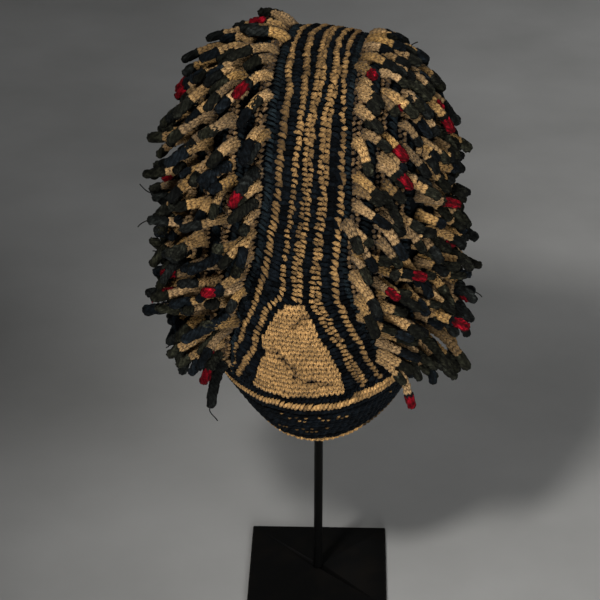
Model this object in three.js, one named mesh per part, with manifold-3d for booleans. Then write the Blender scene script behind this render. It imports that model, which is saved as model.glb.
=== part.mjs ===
// A crocheted fingerling hat on its stand: a tall cap with a striped band over the crown, a dark
// rim, and long crocheted fingers all over both sides. Millimetres, +Z up, the hat's front
// towards -Y. The origin is the middle of the base plate's underside.
import * as THREE from 'three';
import { mergeVertices } from 'three/addons/utils/BufferGeometryUtils.js';
import Module from 'manifold-3d';

const wasm = await Module();
wasm.setup();

// Driving sizes, in millimetres and degrees.
const GAP = 0.3;               // air left between pieces that touch
const PLATE_SIDE = 97;         // square steel base plate
const PLATE_THICK = 3;
const ROD_RADIUS = 3;          // round steel rod
const ROD_SEAT = 2;            // how deep the rod's foot sits in the plate
const HEAD_THICK = 4;          // domed head of the rod, hidden under the crown
const CAP_LIFT = 151;          // height of the front of the rim above the floor
const CAP_HEIGHT = 249;        // from the front of the rim to the crown
const CAP_WALL = 2.6;          // thickness of the crocheted wall
const CAP_TURN = -8;           // the hat sits turned a little on its stand
const RIM_RISE = 16;           // how far the opening arches up over the ears
const RIM_SHIFT = 6;           // how far the opening's middle is off the rod
const CAP_SHIFT = -4;          // the same for the rest of the cap
const RIM_WALL = 3.4;          // the rim rows are a little thicker than the cap
const RIM_WIDTH = 23;          // height of the dark rim band
const EDGE_WIDTH = 3;          // the tan row that the hat was started from
const GROUND_THICK = 1.7;      // ground rows that the fingers grow out of
const FINGER_LENGTH = 28;
const FINGER_RADIUS = 3.2;
const FINGER_SPREAD = 20;      // from one finger to the next along a column
const COLUMN_SPREAD = 17.5;    // from one column of fingers to the next

// The cap's plan is an ellipse. Each half axis has its size at the widest and at the rim, and
// the powers of its curves: the taper down to the rim, and the crown's roundness and fullness.
const PLAN = {
  width: { half: 79, rim: 54, taper: 2.7, round: 4.0, full: 2.5 },
  depth: { half: 93, rim: 72, taper: 3.6, round: 3.0, full: 2.3 },
};

// The bare striped band over the crown: its middle and its half width, as shares of the cap's
// half width. It widens at the front round a plain tan panel.
const BAND = [
  { up: 0.00, middle: 0.10, half: 0.74 },
  { up: 0.20, middle: 0.09, half: 0.61 },
  { up: 0.32, middle: 0.07, half: 0.52 },
  { up: 0.46, middle: 0.05, half: 0.37 },
  { up: 0.56, middle: 0.08, half: 0.29 },
  { up: 0.72, middle: 0.13, half: 0.27 },
  { up: 1.00, middle: 0.09, half: 0.24 },
];

// Shares of the cap's height, and counts.
const WIDEST_AT = 0.46;
const RISE_ENDS = 0.4;         // where the rim's arch and shift have faded out
const HEAD_FROM = 0.955;       // where the hidden head starts
const FIRST_FINGER = 0.19;
const CAP_SIDES = 28;          // facets round the cap
const LOWER_RINGS = 4;         // rings of vertices below and above the widest
const UPPER_RINGS = 7;
const FINGER_SIDES = 4;
const ROD_SIDES = 24;
const STATIONS = 60;           // points measured along a column

// How a finger hangs, as shares of its length: the rise straight out of the ground, the lean
// away from the band, which counts to the right, and the sag downhill, which grows towards the
// rim and towards the crown. Its length is a share of FINGER_LENGTH, and the lowest fingers are
// the longest. The rest is how much the fingers differ.
const FINGER_RISE = 0.30;
const HANG = {
  left: {
    lean: -0.55,
    sags: [{ up: 0, share: 1.7 }, { up: 0.34, share: 0.25 }, { up: 1, share: 0.25 }],
    crownSag: 2.4,
    lengths: [{ up: 0, share: 1.55 }, { up: 0.45, share: 1 }, { up: 1, share: 1 }],
  },
  right: {
    lean: 0.9,
    sags: [{ up: 0, share: 4 }, { up: 0.34, share: 0.55 }, { up: 1, share: 0.55 }],
    crownSag: 3.2,
    lengths: [
      { up: 0, share: 1.7 },
      { up: 0.45, share: 1 },
      { up: 0.7, share: 0.85 },
      { up: 1, share: 0.7 },
    ],
  },
};
const VARIETY = { place: 0.28, length: 0.18, sag: 0.55, sideways: 0.75 };

const radians = THREE.MathUtils.degToRad;

// Half an axis of the plan at a share of the cap's height.
function halfAxis({ half, rim, taper, round, full }, up) {
  if (up < WIDEST_AT) {
    return half - (half - rim) * (1 - up / WIDEST_AT) ** taper;
  }
  const climb = Math.min((up - WIDEST_AT) / (1 - WIDEST_AT), 1);
  return half * (1 - climb ** round) ** (1 / full);
}

// A point of the cap's outer face, at an angle round it and a share of its height.
function face(angle, up) {
  const fade = Math.max(0, 1 - up / RISE_ENDS) ** 2;
  const shift = THREE.MathUtils.lerp(CAP_SHIFT, RIM_SHIFT, fade);
  const point = new THREE.Vector3(
    halfAxis(PLAN.width, up) * Math.cos(angle) + shift,
    halfAxis(PLAN.depth, up) * Math.sin(angle),
    CAP_LIFT + CAP_HEIGHT * up + RIM_RISE * fade * Math.cos(angle) ** 2,
  );
  return point.applyAxisAngle(new THREE.Vector3(0, 0, 1), radians(CAP_TURN));
}

// The outward direction there, from its neighbours.
function outward(angle, up) {
  const step = 0.004;
  if (up > 1 - step) {
    return new THREE.Vector3(0, 0, 1);
  }
  const round = face(angle + step, up).sub(face(angle - step, up));
  const rise = face(angle, up + step).sub(face(angle, Math.max(up - step, 0)));
  return round.cross(rise).normalize();
}

function offsetFace(angle, up, offset) {
  return face(angle, up).addScaledVector(outward(angle, up), offset);
}

// A closed solid between two offsets of the cap's face, over the given heights. When the last
// height is the crown itself, the solid is a dome, and otherwise a ring.
function layer(heights, inner, outer) {
  const dome = heights.at(-1) === 1;
  const rings = dome ? heights.slice(0, -1) : heights;
  const points = [];
  const faces = [];
  for (const offset of [outer, inner]) {
    for (const up of rings) {
      for (let i = 0; i < CAP_SIDES; i += 1) {
        points.push(offsetFace((i / CAP_SIDES) * 2 * Math.PI, up, offset));
      }
    }
  }
  const at = (skin, ring, i) => (skin * rings.length + ring) * CAP_SIDES + (i % CAP_SIDES);
  const quad = (a, b, c, d) => faces.push(a, b, c, a, c, d);
  const top = rings.length - 1;
  for (let i = 0; i < CAP_SIDES; i += 1) {
    for (let ring = 0; ring < top; ring += 1) {
      quad(at(0, ring, i), at(0, ring, i + 1), at(0, ring + 1, i + 1), at(0, ring + 1, i));
      quad(at(1, ring, i), at(1, ring + 1, i), at(1, ring + 1, i + 1), at(1, ring, i + 1));
    }
    quad(at(0, 0, i + 1), at(0, 0, i), at(1, 0, i), at(1, 0, i + 1));
    if (!dome) {
      quad(at(0, top, i), at(0, top, i + 1), at(1, top, i + 1), at(1, top, i));
    }
  }
  if (dome) {
    const poles = [outer, inner].map((offset) => points.push(offsetFace(0, 1, offset)) - 1);
    for (let i = 0; i < CAP_SIDES; i += 1) {
      faces.push(at(0, top, i), at(0, top, i + 1), poles[0]);
      faces.push(at(1, top, i + 1), at(1, top, i), poles[1]);
    }
  }
  const geometry = new THREE.BufferGeometry().setFromPoints(points);
  geometry.setIndex(faces);
  return geometry;
}

// Heights of the rings of vertices from a given one up to the crown.
function ringsFrom(start) {
  const heights = [];
  for (let i = 0; i < LOWER_RINGS; i += 1) {
    heights.push(THREE.MathUtils.lerp(start, WIDEST_AT, i / LOWER_RINGS));
  }
  for (let i = 0; i < UPPER_RINGS; i += 1) {
    const climb = Math.sin((i / UPPER_RINGS) * (Math.PI / 2));
    heights.push(THREE.MathUtils.lerp(WIDEST_AT, 1, climb));
  }
  return [...heights, 1];
}

// Closed geometry to manifold solid, and back.
function solid(geometry) {
  const bare = geometry.clone();
  bare.deleteAttribute('normal');
  bare.deleteAttribute('uv');
  const welded = mergeVertices(bare, 1e-4);
  return new wasm.Manifold(new wasm.Mesh({
    numProp: 3,
    vertProperties: new Float32Array(welded.attributes.position.array),
    triVerts: new Uint32Array(welded.index.array),
  }));
}

function geometryOf(manifold) {
  const { vertProperties, triVerts } = manifold.getMesh();
  const geometry = new THREE.BufferGeometry();
  geometry.setAttribute('position', new THREE.BufferAttribute(vertProperties, 3));
  geometry.setIndex(new THREE.BufferAttribute(triVerts, 1));
  geometry.computeVertexNormals();
  return geometry;
}

const MATERIALS = {
  tanCotton: new THREE.MeshStandardMaterial({ color: 0xb98a52, roughness: 0.92 }),
  indigoCotton: new THREE.MeshStandardMaterial({ color: 0x1a2026, roughness: 0.95 }),
  blackSteel: new THREE.MeshStandardMaterial({ color: 0x0d0d0c, roughness: 0.55, metalness: 0.6 }),
};

function named(name, geometry, material) {
  const mesh = new THREE.Mesh(geometry, material);
  mesh.name = name;
  return mesh;
}

// A round bar standing on the given height.
function bar(radius, bottom, top) {
  return new THREE.CylinderGeometry(radius, radius, top - bottom, ROD_SIDES)
    .rotateX(Math.PI / 2)
    .translate(0, 0, (top + bottom) / 2);
}

// Base plate, with a shallow seat for the rod.
function basePlate() {
  const slab = new THREE.BoxGeometry(PLATE_SIDE, PLATE_SIDE, PLATE_THICK)
    .translate(0, 0, PLATE_THICK / 2);
  const seat = bar(ROD_RADIUS + GAP, PLATE_THICK - ROD_SEAT, PLATE_THICK + ROD_SEAT);
  return named('base_plate', geometryOf(solid(slab).subtract(solid(seat))), MATERIALS.blackSteel);
}

// Rod with the domed head that carries the crown.
function standPost() {
  const under = -(CAP_WALL + GAP);
  const heights = ringsFrom(0).filter((up) => up > HEAD_FROM);
  const head = layer(heights, under - HEAD_THICK, under);
  const foot = PLATE_THICK - ROD_SEAT + GAP;
  const top = CAP_LIFT + CAP_HEIGHT + under - HEAD_THICK / 2;
  const post = solid(head).add(solid(bar(ROD_RADIUS, foot, top)));
  return named('stand_post', geometryOf(post), MATERIALS.blackSteel);
}

// From the bottom up: the tan edge row, the dark rim band, then the cap.
const EDGE_TOP = EDGE_WIDTH / CAP_HEIGHT;
const RIM_FROM = EDGE_TOP + GAP / CAP_HEIGHT;
const RIM_TO = RIM_FROM + RIM_WIDTH / CAP_HEIGHT;
const CAP_FROM = RIM_TO + GAP / CAP_HEIGHT;

function edgeRow() {
  return named('edge_row', layer([0, EDGE_TOP], -RIM_WALL, 0), MATERIALS.tanCotton);
}

function rimBand() {
  const heights = [RIM_FROM, (RIM_FROM + RIM_TO) / 2, RIM_TO];
  return named('rim_band', layer(heights, -RIM_WALL, 0), MATERIALS.indigoCotton);
}

function capShell() {
  return named('cap_shell', layer(ringsFrom(CAP_FROM), -CAP_WALL, 0), MATERIALS.tanCotton);
}

// One value of a table, at a share of the cap's height.
function valueAt(table, name, up) {
  const next = Math.max(1, table.findIndex((row) => row.up >= up));
  const [low, high] = [table[next - 1], table[next]];
  return THREE.MathUtils.lerp(low[name], high[name], (up - low.up) / (high.up - low.up));
}

// Distance of the bare band's edge from the cap's middle, on one side, in millimetres.
function bandEdge(side, up) {
  return PLAN.width.half * (valueAt(BAND, 'half', up) + side * valueAt(BAND, 'middle', up));
}

// Columns of fingers run beside the band, evenly spaced round the widest part of the cap. Each
// is given as a share of the way from the band's edge to the side.
function columnShares(side) {
  const edge = bandEdge(side, WIDEST_AT);
  const turn = Math.acos(edge / PLAN.width.half);
  const count = Math.round((turn * (PLAN.width.half + PLAN.depth.half)) / 2 / COLUMN_SPREAD);
  return Array.from({ length: count }, (_, i) => {
    const across = PLAN.width.half * Math.cos(turn * (1 - (i + 0.5) / count));
    return (across - edge) / (PLAN.width.half - edge);
  });
}

// Cosine of the angle at which a column crosses a height. Over 1, the column has passed the top.
function columnCosine(side, column, up) {
  const flank = up < WIDEST_AT ? halfAxis(PLAN.width, up) : PLAN.width.half;
  return THREE.MathUtils.lerp(bandEdge(side, up), flank, column) / halfAxis(PLAN.width, up);
}

// A fixed irregularity from -1 to 1, for each finger and purpose.
function wobble(finger, purpose) {
  const wave = Math.sin(finger * 12.9898 + purpose * 78.233) * 43758.5453;
  return 2 * (wave - Math.floor(wave)) - 1;
}

// The feet of one column, from the front of the rim over the top and down the back.
function columnFeet(side, column, firstNumber) {
  const drop = 0.001;
  let top = 1;
  while (columnCosine(side, column, top) > 1) {
    top -= drop;
  }
  const stations = [];
  let length = 0;
  for (let i = 0; i <= STATIONS; i += 1) {
    const travel = (i / STATIONS) * Math.PI;
    const up = THREE.MathUtils.lerp(FIRST_FINGER, top, Math.sin(travel));
    const turn = Math.acos(Math.min(columnCosine(side, column, up), 1));
    const angle = travel < Math.PI / 2 ? -turn : turn;
    const point = face(angle, up);
    length += i ? point.distanceTo(stations[i - 1].point) : 0;
    stations.push({ up, angle, point, length });
  }
  const count = Math.round(length / FINGER_SPREAD);
  const feet = [];
  for (let i = 0; i < count; i += 1) {
    const number = firstNumber + i;
    const target = ((i + 0.5 + VARIETY.place * wobble(number, 1)) / count) * length;
    const next = Math.max(1, stations.findIndex((station) => station.length >= target));
    const [before, after] = [stations[next - 1], stations[next]];
    const part = (target - before.length) / (after.length - before.length);
    feet.push({
      number,
      up: THREE.MathUtils.lerp(before.up, after.up, part),
      angle: THREE.MathUtils.lerp(before.angle, after.angle, part),
    });
  }
  return feet;
}

function fingerFeet(side) {
  const feet = columnShares(side).flatMap(
    (column, i) => columnFeet(side, column, 100 * i + (side > 0 ? 0 : 1000)),
  );
  return feet.map((foot) => ({
    ...foot,
    angle: side > 0 ? foot.angle : Math.PI - foot.angle,
    hang: side > 0 ? HANG.right : HANG.left,
  }));
}

// The line a finger follows: straight out of the ground, then sagging under its own weight.
function fingerLine({ number, angle, up, hang }, ground) {
  const normal = outward(angle, up);
  const above = offsetFace(angle, up, FINGER_LENGTH);
  const ray = new THREE.Raycaster(above, normal.clone().negate());
  const start = ray.intersectObject(ground)[0].point.addScaledVector(normal, -GROUND_THICK / 4);
  const share = valueAt(hang.lengths, 'share', up);
  const length = FINGER_LENGTH * share * (1 + VARIETY.length * wobble(number, 2));
  const downhill = new THREE.Vector3(0, 0, -1).addScaledVector(normal, normal.z).normalize();
  const sideways = normal.clone().cross(downhill);
  const across = new THREE.Vector3(1, 0, 0).addScaledVector(normal, -normal.x);
  const sag = valueAt(hang.sags, 'share', up) + hang.crownSag * Math.max(0, normal.z)
    + VARIETY.sag * wobble(number, 3);
  const end = normal.clone()
    .addScaledVector(downhill, sag)
    .addScaledVector(across, hang.lean)
    .addScaledVector(sideways, VARIETY.sideways * wobble(number, 4))
    .normalize();
  return new THREE.QuadraticBezierCurve3(
    start,
    start.clone().addScaledVector(normal, length * FINGER_RISE),
    start.clone().addScaledVector(end, length),
  );
}

// One finger: a tube with a wide root, a bend in the middle and a blunt tip. No finger points
// along the oblique direction that its rings are turned by.
const OBLIQUE = new THREE.Vector3(0.31, 0.17, 0.94);
const FINGER_RINGS = [
  { part: 0.0, radius: 1.15 },
  { part: 0.5, radius: 1.0 },
  { part: 1.0, radius: 0.9 },
];

function finger(line) {
  const points = [];
  const faces = [];
  const across = line.getTangent(0).cross(OBLIQUE).normalize();
  for (const { part, radius } of FINGER_RINGS) {
    const tangent = line.getTangent(part);
    const u = across.clone().addScaledVector(tangent, -across.dot(tangent)).normalize();
    const v = tangent.clone().cross(u);
    for (let i = 0; i < FINGER_SIDES; i += 1) {
      const turn = (i / FINGER_SIDES) * 2 * Math.PI;
      points.push(line.getPoint(part)
        .addScaledVector(u, FINGER_RADIUS * radius * Math.cos(turn))
        .addScaledVector(v, FINGER_RADIUS * radius * Math.sin(turn)));
    }
  }
  const tip = points.length - FINGER_SIDES;
  for (let i = 0; i < FINGER_SIDES; i += 1) {
    const next = (i + 1) % FINGER_SIDES;
    for (let ring = 0; ring < tip; ring += FINGER_SIDES) {
      const [a, b, c, d] = [ring + i, ring + next, ring + next + FINGER_SIDES, ring + i + FINGER_SIDES];
      faces.push(a, b, c, a, c, d);
    }
  }
  for (let i = 1; i < FINGER_SIDES - 1; i += 1) {
    faces.push(tip, tip + i, tip + i + 1);
    faces.push(0, i + 1, i);
  }
  const geometry = new THREE.BufferGeometry().setFromPoints(points);
  geometry.setIndex(faces);
  return solid(geometry);
}

// A block over one side of the cap, from the edge of the bare band outwards.
function sideBlock(side) {
  const reach = 2 * (PLAN.width.half + PLAN.depth.half);
  const shape = new THREE.Shape();
  shape.moveTo(side * reach, CAP_LIFT);
  for (const { up } of BAND) {
    shape.lineTo(side * bandEdge(side, up), CAP_LIFT + CAP_HEIGHT * up);
  }
  shape.lineTo(side * bandEdge(side, 1), CAP_LIFT + 2 * CAP_HEIGHT);
  shape.lineTo(side * reach, CAP_LIFT + 2 * CAP_HEIGHT);
  return solid(new THREE.ExtrudeGeometry(shape, { depth: 2 * reach, bevelEnabled: false })
    .translate(0, 0, -reach)
    .rotateX(Math.PI / 2)
    .rotateZ(radians(CAP_TURN)));
}

// A fingered side: thin ground rows over the side of the cap, with the fingers worked on.
function fingeredSide(name, side) {
  const sheet = layer(ringsFrom(CAP_FROM), GAP, GAP + GROUND_THICK);
  const ground = new THREE.Mesh(sheet, MATERIALS.indigoCotton);
  const fingers = fingerFeet(side).map((foot) => finger(fingerLine(foot, ground)));
  const panel = solid(sheet).intersect(sideBlock(side)).add(wasm.Manifold.union(fingers));
  return named(name, geometryOf(panel.asOriginal().simplify(GAP / 3)), MATERIALS.indigoCotton);
}

const group = new THREE.Group();
group.add(
  basePlate(),
  standPost(),
  edgeRow(),
  rimBand(),
  capShell(),
  fingeredSide('fingers_left', -1),
  fingeredSide('fingers_right', 1),
);

export default group;
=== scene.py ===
import math
import bmesh
import bpy
import numpy as np
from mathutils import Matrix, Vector


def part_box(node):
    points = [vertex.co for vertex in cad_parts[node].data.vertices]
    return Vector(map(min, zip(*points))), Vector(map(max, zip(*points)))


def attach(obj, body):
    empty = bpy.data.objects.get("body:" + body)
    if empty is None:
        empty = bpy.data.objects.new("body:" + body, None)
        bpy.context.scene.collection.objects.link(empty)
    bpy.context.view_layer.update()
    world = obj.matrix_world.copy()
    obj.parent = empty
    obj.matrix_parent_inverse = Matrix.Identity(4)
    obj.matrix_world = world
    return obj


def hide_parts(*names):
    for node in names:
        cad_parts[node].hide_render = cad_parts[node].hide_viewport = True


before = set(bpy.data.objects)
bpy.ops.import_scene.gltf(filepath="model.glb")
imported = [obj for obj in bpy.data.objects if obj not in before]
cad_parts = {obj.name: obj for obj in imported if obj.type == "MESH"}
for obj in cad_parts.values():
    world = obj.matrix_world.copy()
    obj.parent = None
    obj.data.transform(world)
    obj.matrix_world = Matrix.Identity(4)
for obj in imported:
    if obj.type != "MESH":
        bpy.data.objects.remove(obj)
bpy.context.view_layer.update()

# View: a long lens a little above the hat, which looks down at its front and at the top of the
# base plate. The picture is square, and its sizes in pixels are those of the whole picture.
picture_side = 600
picture_lens = 1969
look_down = math.radians(27.79)
look_left = math.radians(1.57)
camera = bpy.data.objects.new("camera", bpy.data.cameras.new("camera"))
camera.data.sensor_width = 36
camera.data.lens = camera.data.sensor_width * picture_lens / picture_side
camera.location = (0.0188, -1.1535, 0.8246)
camera.rotation_euler = (math.pi / 2 - look_down, 0, look_left)
bpy.context.collection.objects.link(camera)
bpy.context.scene.camera = camera
bpy.context.scene.view_settings.view_transform = "Standard"


# Studio: a plain pale paper floor, a lamp in front and to the left, which throws the shadow back
# to the right, a large soft one in front and to the right, a low one straight in front, and a
# weak one on the floor far back.
def paper_material():
    """Pale matt paper, faintly smudged."""
    material = bpy.data.materials.new("pale_paper")
    material.use_nodes = True
    nodes, links = material.node_tree.nodes, material.node_tree.links
    shader = nodes["Principled BSDF"]
    shader.inputs["Roughness"].default_value = 0.9
    shader.inputs["Specular IOR Level"].default_value = 0.2
    place = nodes.new("ShaderNodeTexCoord")
    smudge = nodes.new("ShaderNodeTexNoise")
    smudge.inputs["Scale"].default_value = 6
    smudge.inputs["Detail"].default_value = 6
    tone = nodes.new("ShaderNodeValToRGB")
    tone.color_ramp.elements[0].color = (0.42, 0.42, 0.41, 1)
    tone.color_ramp.elements[1].color = (0.52, 0.52, 0.51, 1)
    tone.color_ramp.elements[0].position = 0.3
    tone.color_ramp.elements[1].position = 0.7
    links.new(place.outputs["Object"], smudge.inputs["Vector"])
    links.new(smudge.outputs["Fac"], tone.inputs["Fac"])
    links.new(tone.outputs["Color"], shader.inputs["Base Color"])
    return material


floor_reach = 5.0
floor_mesh = bpy.data.meshes.new("floor")
floor_mesh.from_pydata(
    [(x * floor_reach, y * floor_reach, 0) for x, y in ((-1, -1), (1, -1), (1, 1), (-1, 1))],
    [],
    [(0, 1, 2, 3)],
)
floor_mesh.materials.append(paper_material())
floor = bpy.data.objects.new("floor", floor_mesh)
bpy.context.collection.objects.link(floor)

hat_middle = Vector((0, 0, 0.27))


def lamp(name, kind, energy, direction, distance, aim):
    """A lamp at a distance from the hat, turned towards a point near it."""
    piece = bpy.data.objects.new(name, bpy.data.lights.new(name, kind))
    piece.data.energy = energy
    piece.location = hat_middle + Vector(direction).normalized() * distance
    piece.rotation_euler = (Vector(aim) - piece.location).to_track_quat("-Z", "Y").to_euler()
    piece.visible_camera = False
    bpy.context.collection.objects.link(piece)
    return piece.data


left_lamp = lamp("left_lamp", "SPOT", 50, (-0.42, -0.9, 1.0), 1.4, (0.46, 0.05, 0))
left_lamp.shadow_soft_size = 0.1
left_lamp.spot_size = math.radians(56)
left_lamp.spot_blend = 1.0
left_lamp.color = (1.0, 0.98, 0.95)
right_lamp = lamp("right_lamp", "AREA", 68, (1.3, -1.3, 1.0), 6, (0, 0, 0.2))
right_lamp.shape = "DISK"
right_lamp.size = 3.0
front_lamp = lamp("front_lamp", "AREA", 26, (0.12, -1.0, 0.08), 2.2, hat_middle)
front_lamp.shape = "DISK"
front_lamp.size = 0.8
far_lamp = lamp("far_lamp", "SPOT", 104, (0.8, 0.8, 1.0), 3, (0.35, 1.1, 0))
far_lamp.shadow_soft_size = 0.6
far_lamp.spot_size = math.radians(28)
far_lamp.spot_blend = 1.0

room = bpy.data.worlds.new("room")
room.use_nodes = True
room.node_tree.nodes["Background"].inputs["Color"].default_value = (0.92, 0.96, 1.0, 1)
room.node_tree.nodes["Background"].inputs["Strength"].default_value = 0.02
bpy.context.scene.world = room


# Base plate and rod: a square of steel with eased edges and a round rod stood in its seat, all
# sprayed satin black. Handling has rubbed the edges and left faint brown smudges on the plate.
def black_paint(half_side):
    """Satin black paint, rubbed along the plate's edges and smudged on its top."""
    material = bpy.data.materials.new("black_paint")
    material.use_nodes = True
    nodes, links = material.node_tree.nodes, material.node_tree.links
    shader = nodes["Principled BSDF"]
    shader.inputs["Specular IOR Level"].default_value = 0.12
    place = nodes.new("ShaderNodeTexCoord")
    apart = nodes.new("ShaderNodeSeparateXYZ")
    links.new(place.outputs["Object"], apart.inputs["Vector"])

    def near_edge(axis):
        size = nodes.new("ShaderNodeMath")
        size.operation = "ABSOLUTE"
        ramp = nodes.new("ShaderNodeMapRange")
        ramp.inputs["From Min"].default_value = half_side - 0.0012
        ramp.inputs["From Max"].default_value = half_side
        links.new(apart.outputs[axis], size.inputs[0])
        links.new(size.outputs[0], ramp.inputs["Value"])
        return ramp.outputs["Result"]

    def noise(scale, detail):
        node = nodes.new("ShaderNodeTexNoise")
        node.inputs["Scale"].default_value = scale
        node.inputs["Detail"].default_value = detail
        links.new(place.outputs["Object"], node.inputs["Vector"])
        return node.outputs["Fac"]

    def sum_up(operation, first, second):
        node = nodes.new("ShaderNodeMath")
        node.operation = operation
        for value, socket in zip((first, second), node.inputs):
            if isinstance(value, (int, float)):
                socket.default_value = value
            else:
                links.new(value, socket)
        return node.outputs[0]

    rubbed = sum_up("MAXIMUM", near_edge("X"), near_edge("Y"))
    rubbed = sum_up("MULTIPLY", rubbed, sum_up("GREATER_THAN", noise(320, 4), 0.52))
    smudged = sum_up("MULTIPLY", sum_up("SUBTRACT", noise(42, 5), 0.47), 2.2)
    colour = nodes.new("ShaderNodeMix")
    colour.data_type = "RGBA"
    colour.clamp_factor = True
    colour.inputs["A"].default_value = (0.0042, 0.0042, 0.0041, 1)
    colour.inputs["B"].default_value = (0.0095, 0.0078, 0.0062, 1)
    links.new(smudged, colour.inputs["Factor"])
    worn = nodes.new("ShaderNodeMix")
    worn.data_type = "RGBA"
    worn.inputs["B"].default_value = (0.035, 0.032, 0.029, 1)
    links.new(rubbed, worn.inputs["Factor"])
    links.new(colour.outputs["Result"], worn.inputs["A"])
    links.new(worn.outputs["Result"], shader.inputs["Base Color"])
    gloss = nodes.new("ShaderNodeMapRange")
    gloss.inputs["To Min"].default_value = 0.42
    gloss.inputs["To Max"].default_value = 0.66
    links.new(noise(60, 4), gloss.inputs["Value"])
    links.new(gloss.outputs["Result"], shader.inputs["Roughness"])
    peel = nodes.new("ShaderNodeBump")
    peel.inputs["Strength"].default_value = 0.12
    peel.inputs["Distance"].default_value = 0.0003
    links.new(noise(900, 2), peel.inputs["Height"])
    links.new(peel.outputs["Normal"], shader.inputs["Normal"])
    return material


def eased_steel(name, node, ease, paint):
    """A steel piece of the stand, with its sharp edges eased by a small round."""
    form = bmesh.new()
    form.from_mesh(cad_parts[node].data)
    bmesh.ops.remove_doubles(form, verts=form.verts, dist=1e-5)
    flat = math.radians(1)
    bmesh.ops.dissolve_limit(form, angle_limit=flat, verts=form.verts, edges=form.edges)
    corner = math.radians(40)
    sharp = [edge for edge in form.edges if edge.is_manifold and edge.calc_face_angle() > corner]
    bmesh.ops.bevel(form, geom=sharp, offset=ease, segments=2, affect="EDGES", clamp_overlap=True)
    mesh = bpy.data.meshes.new(name)
    form.to_mesh(mesh)
    form.free()
    mesh.shade_smooth()
    mesh.set_sharp_from_angle(angle=math.radians(35))
    mesh.materials.append(paint)
    piece = bpy.data.objects.new(name, mesh)
    bpy.context.collection.objects.link(piece)
    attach(piece, "root")
    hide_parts(node)
    return piece


plate_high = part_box("base_plate")[1]
paint = black_paint(plate_high.x)
eased_steel("steel_plate", "base_plate", 0.0005, paint)
eased_steel("steel_rod", "stand_post", 0.0002, paint)


# Edge row: the round of chain stitches that the hat was started from, in tan cotton. It runs
# round the opening, which arches up over the ears and is turned a little on the stand.
mm = 0.001
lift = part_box("edge_row")[0].z
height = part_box("cap_shell")[1].z - lift
widest_at = 0.46
rise_ends = 0.4
rim_rise = 16 * mm
rim_shift = 6 * mm
cap_shift = -4 * mm
cap_turn = math.radians(-8)
plan_width = {"half": 79 * mm, "rim": 54 * mm, "taper": 2.7, "round": 4.0, "full": 2.5}
plan_depth = {"half": 93 * mm, "rim": 72 * mm, "taper": 3.6, "round": 3.0, "full": 2.3}
chance = np.random.default_rng(11)


def half_axis(plan, up):
    """Half an axis of the cap's oval plan, at a share of its height."""
    low = plan["half"] - (plan["half"] - plan["rim"]) * np.clip(1 - up / widest_at, 0, 1) ** plan["taper"]
    climb = np.clip((up - widest_at) / (1 - widest_at), 0, 1)
    high = plan["half"] * (1 - climb ** plan["round"]) ** (1 / plan["full"])
    return np.where(up < widest_at, low, high)


def face(angle, up):
    """Points of the cap's outer face."""
    fade = np.maximum(0, 1 - up / rise_ends) ** 2
    x = half_axis(plan_width, up) * np.cos(angle) + cap_shift + (rim_shift - cap_shift) * fade
    y = half_axis(plan_depth, up) * np.sin(angle)
    z = lift + height * up + rim_rise * fade * np.cos(angle) ** 2
    turned_x = x * math.cos(cap_turn) - y * math.sin(cap_turn)
    turned_y = x * math.sin(cap_turn) + y * math.cos(cap_turn)
    return np.stack([turned_x, turned_y, z + 0 * turned_x], axis=-1)


def unit(vectors):
    return vectors / np.maximum(np.linalg.norm(vectors, axis=-1, keepdims=True), 1e-12)


def outward(angle, up):
    """Directions straight out of the cap's face."""
    step = np.minimum(0.004, (1 - up) / 2) + 1e-7
    along = face(angle + 0.004, up) - face(angle - 0.004, up)
    rise = face(angle, np.minimum(up + step, 1)) - face(angle, np.maximum(up - step, 0))
    normal = np.cross(along, rise)
    crown = np.linalg.norm(normal, axis=-1, keepdims=True) < 1e-14
    return unit(np.where(crown, np.array([0.0, 0.0, 1.0]), normal))


def wall(heights, inner, outer, sides):
    """Points and triangles of a closed wall between two offsets of the cap's face."""
    dome = heights[-1] == 1
    angles = np.arange(sides) * 2 * math.pi / sides
    angle, up = np.meshgrid(angles, heights)
    skins = [face(angle, up) + outward(angle, up) * offset for offset in (outer, inner)]
    points = np.concatenate([skin.reshape(-1, 3) for skin in skins])
    rings = len(heights)
    triangles = []

    def quads(a, b, c, d):
        triangles.append(np.stack([a, b, c], axis=-1).reshape(-1, 3))
        triangles.append(np.stack([a, c, d], axis=-1).reshape(-1, 3))

    index = np.arange(2 * rings * sides).reshape(2, rings, sides)
    ahead = np.roll(index, -1, axis=2)
    quads(index[0, :-1], ahead[0, :-1], ahead[0, 1:], index[0, 1:])
    quads(index[1, :-1], index[1, 1:], ahead[1, 1:], ahead[1, :-1])
    quads(ahead[0, 0], index[0, 0], index[1, 0], ahead[1, 0])
    if not dome:
        quads(index[0, -1], ahead[0, -1], ahead[1, -1], index[1, -1])
    return points, np.concatenate(triangles)


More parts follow.
